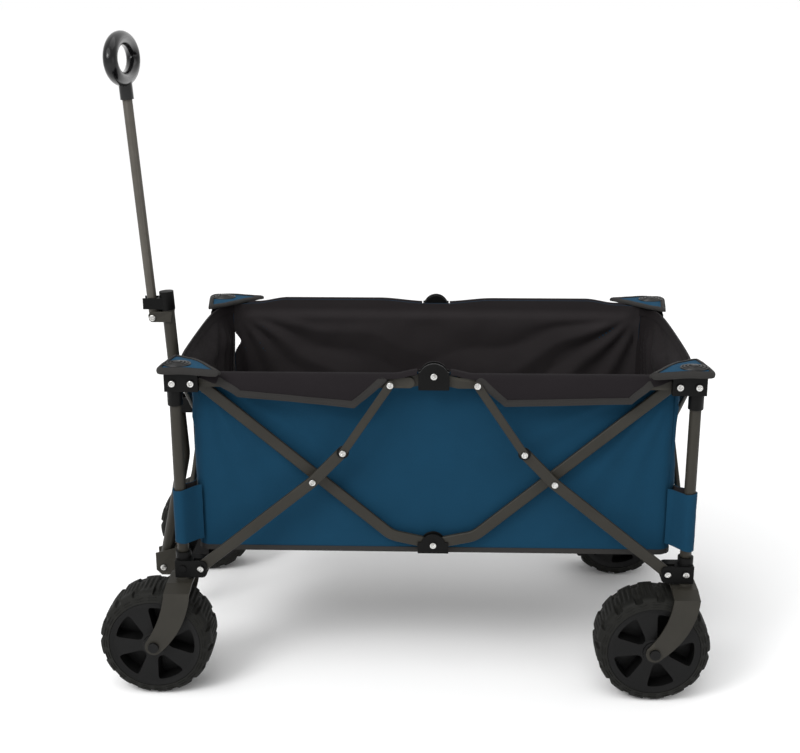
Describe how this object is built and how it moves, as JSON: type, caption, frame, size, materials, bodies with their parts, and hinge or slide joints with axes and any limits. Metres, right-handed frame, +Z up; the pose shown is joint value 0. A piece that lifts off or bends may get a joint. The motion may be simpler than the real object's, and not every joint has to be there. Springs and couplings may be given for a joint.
{
  "type": "beach cart",
  "caption": "Folding all-terrain beach cart: fabric tub in a scissor frame that closes both ways, fat wheels, swivelling front casters and a folding pull handle.",
  "frame": {"origin": "on the ground, under the middle of the whole cart with its wheels and handle", "axes": "+X from the pull handle towards the rear, +Y across the cart, +Z up"},
  "size_m": [1.0332, 0.598, 1.0918],
  "materials": {
    "frame_steel": "satin powder coat, warm grey-brown",
    "black_plastic": "moulded nylon, fine texture",
    "grip_plastic": "smooth semi-gloss",
    "wheel_plastic": "moulded polypropylene",
    "tyre": "soft tread rubber, matt",
    "zinc": "bright zinc",
    "fabric": "coated polyester canvas, deep blue"
  },
  "bodies": {
    "tub": {"bag": "fabric"},
    "top_hinge_near": {"top_hinge_near": "black_plastic"},
    "bottom_hinge_near": {"bottom_hinge_near": "black_plastic"},
    "top_hinge_far": {"top_hinge_far": "black_plastic"},
    "bottom_hinge_far": {"bottom_hinge_far": "black_plastic"},
    "top_rail_front_near": {"top_rail_front_near": "frame_steel"},
    "upper_corner_front_near": {"upper_corner_front_near": "black_plastic"},
    "lower_corner_front_near": {"post_front_near": "frame_steel", "lower_corner_front_near": "black_plastic"},
    "long_brace_front_near": {"long_brace_front_near": "frame_steel"},
    "short_brace_front_near": {"short_brace_front_near": "frame_steel"},
    "link_front_near": {"link_front_near": "frame_steel"},
    "end_brace_front_near": {"end_brace_front_near": "frame_steel"},
    "caster_near": {"fork_front_near": "frame_steel", "axle_front_near": "zinc"},
    "wheel_front_near": {"wheel_hub_front_near": "wheel_plastic", "tyre_front_near": "tyre"},
    "top_rail_front_far": {"top_rail_front_far": "frame_steel"},
    "upper_corner_front_far": {"upper_corner_front_far": "black_plastic"},
    "lower_corner_front_far": {"post_front_far": "frame_steel", "lower_corner_front_far": "black_plastic"},
    "long_brace_front_far": {"long_brace_front_far": "frame_steel"},
    "short_brace_front_far": {"short_brace_front_far": "frame_steel"},
    "link_front_far": {"link_front_far": "frame_steel"},
    "end_brace_front_far": {"end_brace_front_far": "frame_steel"},
    "caster_far": {"fork_front_far": "frame_steel", "axle_front_far": "zinc"},
    "wheel_front_far": {"wheel_hub_front_far": "wheel_plastic", "tyre_front_far": "tyre"},
    "top_rail_rear_near": {"top_rail_rear_near": "frame_steel"},
    "upper_corner_rear_near": {"upper_corner_rear_near": "black_plastic"},
    "lower_corner_rear_near": {"post_rear_near": "frame_steel", "lower_corner_rear_near": "black_plastic", "fork_rear_near": "frame_steel", "axle_rear_near": "zinc"},
    "long_brace_rear_near": {"long_brace_rear_near": "frame_steel"},
    "short_brace_rear_near": {"short_brace_rear_near": "frame_steel"},
    "link_rear_near": {"link_rear_near": "frame_steel"},
    "end_brace_rear_near": {"end_brace_rear_near": "frame_steel"},
    "wheel_rear_near": {"wheel_hub_rear_near": "wheel_plastic", "tyre_rear_near": "tyre"},
    "top_rail_rear_far": {"top_rail_rear_far": "frame_steel"},
    "upper_corner_rear_far": {"upper_corner_rear_far": "black_plastic"},
    "lower_corner_rear_far": {"post_rear_far": "frame_steel", "lower_corner_rear_far": "black_plastic", "fork_rear_far": "frame_steel", "axle_rear_far": "zinc"},
    "long_brace_rear_far": {"long_brace_rear_far": "frame_steel"},
    "short_brace_rear_far": {"short_brace_rear_far": "frame_steel"},
    "link_rear_far": {"link_rear_far": "frame_steel"},
    "end_brace_rear_far": {"end_brace_rear_far": "frame_steel"},
    "wheel_rear_far": {"wheel_hub_rear_far": "wheel_plastic", "tyre_rear_far": "tyre"},
    "handle_hanger": {"handle_hanger": "frame_steel", "front_clip": "black_plastic"},
    "handle_lower": {"handle_lower_tube": "frame_steel", "handle_cap": "black_plastic", "handle_bracket": "frame_steel"},
    "handle_upper": {"handle_upper_rod": "frame_steel", "grip": "grip_plastic"}
  },
  "joints": [
    {"name": "fold", "type": "slide", "parent": "tub", "child": "top_hinge_near", "axis": [0, 0.4758, -0.8796], "range_m": [0, 0.23965], "deforming": ["bag"]},
    {"name": "fold_bottom_near", "type": "slide", "parent": "tub", "child": "bottom_hinge_near", "axis": [0, 0.9968, -0.08], "range_m": [0, 0.1144]},
    {"name": "fold_top_far", "type": "slide", "parent": "tub", "child": "top_hinge_far", "axis": [0, -0.4758, -0.8796], "range_m": [0, 0.23967]},
    {"name": "fold_bottom_far", "type": "slide", "parent": "tub", "child": "bottom_hinge_far", "axis": [0, -0.9968, -0.08], "range_m": [0, 0.1144]},
    {"name": "rail_fold_front_near", "type": "hinge", "parent": "top_hinge_near", "child": "top_rail_front_near", "pos_m": [0.0493, -0.235, 0.5628], "axis": [0, 1, 0], "range_deg": [0, 69.54]},
    {"name": "upper_corner_turn_front_near", "type": "hinge", "parent": "top_rail_front_near", "child": "upper_corner_front_near", "pos_m": [-0.3433, -0.235, 0.5493], "axis": [0, -1, 0], "range_deg": [0, 69.54]},
    {"name": "post_slide_front_near", "type": "slide", "parent": "upper_corner_front_near", "child": "lower_corner_front_near", "axis": [0, 0, -1], "range_m": [0, 0.1658]},
    {"name": "long_brace_fold_front_near", "type": "hinge", "parent": "upper_corner_front_near", "child": "long_brace_front_near", "pos_m": [-0.3433, -0.235, 0.5493], "axis": [0, 1, 0], "range_deg": [0, 35.76]},
    {"name": "short_brace_fold_front_near", "type": "hinge", "parent": "lower_corner_front_near", "child": "short_brace_front_near", "pos_m": [-0.3423, -0.244, 0.2223], "axis": [0, -1, 0], "range_deg": [0, 37.66]},
    {"name": "link_fold_front_near", "type": "hinge", "parent": "top_rail_front_near", "child": "link_front_near", "pos_m": [-0.0209, -0.251, 0.5492], "axis": [0, 1, 0], "range_deg": [0, 55.86]},
    {"name": "end_brace_fold_front_near", "type": "hinge", "parent": "lower_corner_front_near", "child": "end_brace_front_near", "pos_m": [-0.3807, -0.206, 0.2223], "axis": [1, 0, 0], "range_deg": [0, 31.11]},
    {"name": "caster_swivel_near", "type": "hinge", "parent": "lower_corner_front_near", "child": "caster_near", "pos_m": [-0.3736, -0.244, 0.21], "axis": [0, 0, 1], "continuous": true},
    {"name": "wheel_spin_front_near", "type": "hinge", "parent": "caster_near", "child": "wheel_front_near", "pos_m": [-0.4206, -0.244, 0.096], "axis": [0, 1, 0], "continuous": true},
    {"name": "rail_fold_front_far", "type": "hinge", "parent": "top_hinge_far", "child": "top_rail_front_far", "pos_m": [0.0493, 0.235, 0.5628], "axis": [0, 1, 0], "range_deg": [0, 69.54]},
    {"name": "upper_corner_turn_front_far", "type": "hinge", "parent": "top_rail_front_far", "child": "upper_corner_front_far", "pos_m": [-0.3433, 0.235, 0.5493], "axis": [0, -1, 0], "range_deg": [0, 69.54]},
    {"name": "post_slide_front_far", "type": "slide", "parent": "upper_corner_front_far", "child": "lower_corner_front_far", "axis": [0, 0, -1], "range_m": [0, 0.1658]},
    {"name": "long_brace_fold_front_far", "type": "hinge", "parent": "upper_corner_front_far", "child": "long_brace_front_far", "pos_m": [-0.3433, 0.235, 0.5493], "axis": [0, 1, 0], "range_deg": [0, 35.76]},
    {"name": "short_brace_fold_front_far", "type": "hinge", "parent": "lower_corner_front_far", "child": "short_brace_front_far", "pos_m": [-0.3423, 0.244, 0.2223], "axis": [0, -1, 0], "range_deg": [0, 37.66]},
    {"name": "link_fold_front_far", "type": "hinge", "parent": "top_rail_front_far", "child": "link_front_far", "pos_m": [-0.0209, 0.251, 0.5492], "axis": [0, 1, 0], "range_deg": [0, 55.86]},
    {"name": "end_brace_fold_front_far", "type": "hinge", "parent": "lower_corner_front_far", "child": "end_brace_front_far", "pos_m": [-0.3697, 0.206, 0.2223], "axis": [-1, 0, 0], "range_deg": [0, 31.11]},
    {"name": "caster_swivel_far", "type": "hinge", "parent": "lower_corner_front_far", "child": "caster_far", "pos_m": [-0.3736, 0.244, 0.21], "axis": [0, 0, 1], "continuous": true},
    {"name": "wheel_spin_front_far", "type": "hinge", "parent": "caster_far", "child": "wheel_front_far", "pos_m": [-0.4206, 0.244, 0.096], "axis": [0, 1, 0], "continuous": true},
    {"name": "rail_fold_rear_near", "type": "hinge", "parent": "top_hinge_near", "child": "top_rail_rear_near", "pos_m": [0.0493, -0.235, 0.5628], "axis": [0, -1, 0], "range_deg": [0, 69.54]},
    {"name": "upper_corner_turn_rear_near", "type": "hinge", "parent": "top_rail_rear_near", "child": "upper_corner_rear_near", "pos_m": [0.4419, -0.235, 0.5493], "axis": [0, 1, 0], "range_deg": [0, 69.54]},
    {"name": "post_slide_rear_near", "type": "slide", "parent": "upper_corner_rear_near", "child": "lower_corner_rear_near", "axis": [0, 0, -1], "range_m": [0, 0.1658]},
    {"name": "long_brace_fold_rear_near", "type": "hinge", "parent": "upper_corner_rear_near", "child": "long_brace_rear_near", "pos_m": [0.4419, -0.235, 0.5493], "axis": [0, -1, 0], "range_deg": [0, 35.76]},
    {"name": "short_brace_fold_rear_near", "type": "hinge", "parent": "lower_corner_rear_near", "child": "short_brace_rear_near", "pos_m": [0.4409, -0.244, 0.2223], "axis": [0, 1, 0], "range_deg": [0, 37.66]},
    {"name": "link_fold_rear_near", "type": "hinge", "parent": "top_rail_rear_near", "child": "link_rear_near", "pos_m": [0.1195, -0.251, 0.5492], "axis": [0, -1, 0], "range_deg": [0, 55.86]},
    {"name": "end_brace_fold_rear_near", "type": "hinge", "parent": "lower_corner_rear_near", "child": "end_brace_rear_near", "pos_m": [0.4793, -0.206, 0.2223], "axis": [1, 0, 0], "range_deg": [0, 31.11]},
    {"name": "wheel_spin_rear_near", "type": "hinge", "parent": "lower_corner_rear_near", "child": "wheel_rear_near", "pos_m": [0.4206, -0.244, 0.096], "axis": [0, 1, 0], "continuous": true},
    {"name": "rail_fold_rear_far", "type": "hinge", "parent": "top_hinge_far", "child": "top_rail_rear_far", "pos_m": [0.0493, 0.235, 0.5628], "axis": [0, -1, 0], "range_deg": [0, 69.54]},
    {"name": "upper_corner_turn_rear_far", "type": "hinge", "parent": "top_rail_rear_far", "child": "upper_corner_rear_far", "pos_m": [0.4419, 0.235, 0.5493], "axis": [0, 1, 0], "range_deg": [0, 69.54]},
    {"name": "post_slide_rear_far", "type": "slide", "parent": "upper_corner_rear_far", "child": "lower_corner_rear_far", "axis": [0, 0, -1], "range_m": [0, 0.1658]},
    {"name": "long_brace_fold_rear_far", "type": "hinge", "parent": "upper_corner_rear_far", "child": "long_brace_rear_far", "pos_m": [0.4419, 0.235, 0.5493], "axis": [0, -1, 0], "range_deg": [0, 35.76]},
    {"name": "short_brace_fold_rear_far", "type": "hinge", "parent": "lower_corner_rear_far", "child": "short_brace_rear_far", "pos_m": [0.4409, 0.244, 0.2223], "axis": [0, 1, 0], "range_deg": [0, 37.66]},
    {"name": "link_fold_rear_far", "type": "hinge", "parent": "top_rail_rear_far", "child": "link_rear_far", "pos_m": [0.1195, 0.251, 0.5492], "axis": [0, -1, 0], "range_deg": [0, 55.86]},
    {"name": "end_brace_fold_rear_far", "type": "hinge", "parent": "lower_corner_rear_far", "child": "end_brace_rear_far", "pos_m": [0.4683, 0.206, 0.2223], "axis": [-1, 0, 0], "range_deg": [0, 31.11]},
    {"name": "wheel_spin_rear_far", "type": "hinge", "parent": "lower_corner_rear_far", "child": "wheel_rear_far", "pos_m": [0.4206, 0.244, 0.096], "axis": [0, 1, 0], "continuous": true},
    {"name": "handle_hanger_turn", "type": "hinge", "parent": "end_brace_front_near", "child": "handle_hanger", "pos_m": [-0.3807, 0, 0.3858], "axis": [-1, 0, 0], "range_deg": [0, 31.11]},
    {"name": "handle_pull", "type": "hinge", "parent": "handle_hanger", "child": "handle_lower", "pos_m": [-0.4607, 0, 0.112], "axis": [0, -1, 0], "range_deg": [0, 86]},
    {"name": "handle_fold", "type": "hinge", "parent": "handle_lower", "child": "handle_upper", "pos_m": [-0.4541, 0, 0.597], "axis": [0, 1, 0], "range_deg": [-150, 0]}
  ],
  "couplings": [
    {"joint": "fold_bottom_near", "follows": "fold", "ratio": 0.4773},
    {"joint": "fold_top_far", "follows": "fold", "ratio": 1},
    {"joint": "fold_bottom_far", "follows": "fold", "ratio": 0.4773},
    {"joint": "rail_fold_front_near", "follows": "fold", "rad_per_m": 5.0631},
    {"joint": "upper_corner_turn_front_near", "follows": "fold", "rad_per_m": 5.0631},
    {"joint": "post_slide_front_near", "follows": "fold", "ratio": 0.69175},
    {"joint": "long_brace_fold_front_near", "follows": "fold", "rad_per_m": 2.6027},
    {"joint": "short_brace_fold_front_near", "follows": "fold", "rad_per_m": 2.7416},
    {"joint": "link_fold_front_near", "follows": "fold", "rad_per_m": 4.0666},
    {"joint": "end_brace_fold_front_near", "follows": "fold", "rad_per_m": 2.2642},
    {"joint": "rail_fold_front_far", "follows": "fold", "rad_per_m": 5.0631},
    {"joint": "upper_corner_turn_front_far", "follows": "fold", "rad_per_m": 5.0631},
    {"joint": "post_slide_front_far", "follows": "fold", "ratio": 0.69175},
    {"joint": "long_brace_fold_front_far", "follows": "fold", "rad_per_m": 2.6027},
    {"joint": "short_brace_fold_front_far", "follows": "fold", "rad_per_m": 2.7416},
    {"joint": "link_fold_front_far", "follows": "fold", "rad_per_m": 4.0666},
    {"joint": "end_brace_fold_front_far", "follows": "fold", "rad_per_m": 2.2642},
    {"joint": "rail_fold_rear_near", "follows": "fold", "rad_per_m": 5.0631},
    {"joint": "upper_corner_turn_rear_near", "follows": "fold", "rad_per_m": 5.0631},
    {"joint": "post_slide_rear_near", "follows": "fold", "ratio": 0.69175},
    {"joint": "long_brace_fold_rear_near", "follows": "fold", "rad_per_m": 2.6027},
    {"joint": "short_brace_fold_rear_near", "follows": "fold", "rad_per_m": 2.7416},
    {"joint": "link_fold_rear_near", "follows": "fold", "rad_per_m": 4.0666},
    {"joint": "end_brace_fold_rear_near", "follows": "fold", "rad_per_m": 2.2642},
    {"joint": "rail_fold_rear_far", "follows": "fold", "rad_per_m": 5.0631},
    {"joint": "upper_corner_turn_rear_far", "follows": "fold", "rad_per_m": 5.0631},
    {"joint": "post_slide_rear_far", "follows": "fold", "ratio": 0.69175},
    {"joint": "long_brace_fold_rear_far", "follows": "fold", "rad_per_m": 2.6027},
    {"joint": "short_brace_fold_rear_far", "follows": "fold", "rad_per_m": 2.7416},
    {"joint": "link_fold_rear_far", "follows": "fold", "rad_per_m": 4.0666},
    {"joint": "end_brace_fold_rear_far", "follows": "fold", "rad_per_m": 2.2642},
    {"joint": "handle_hanger_turn", "follows": "fold", "rad_per_m": 2.2642}
  ]
}
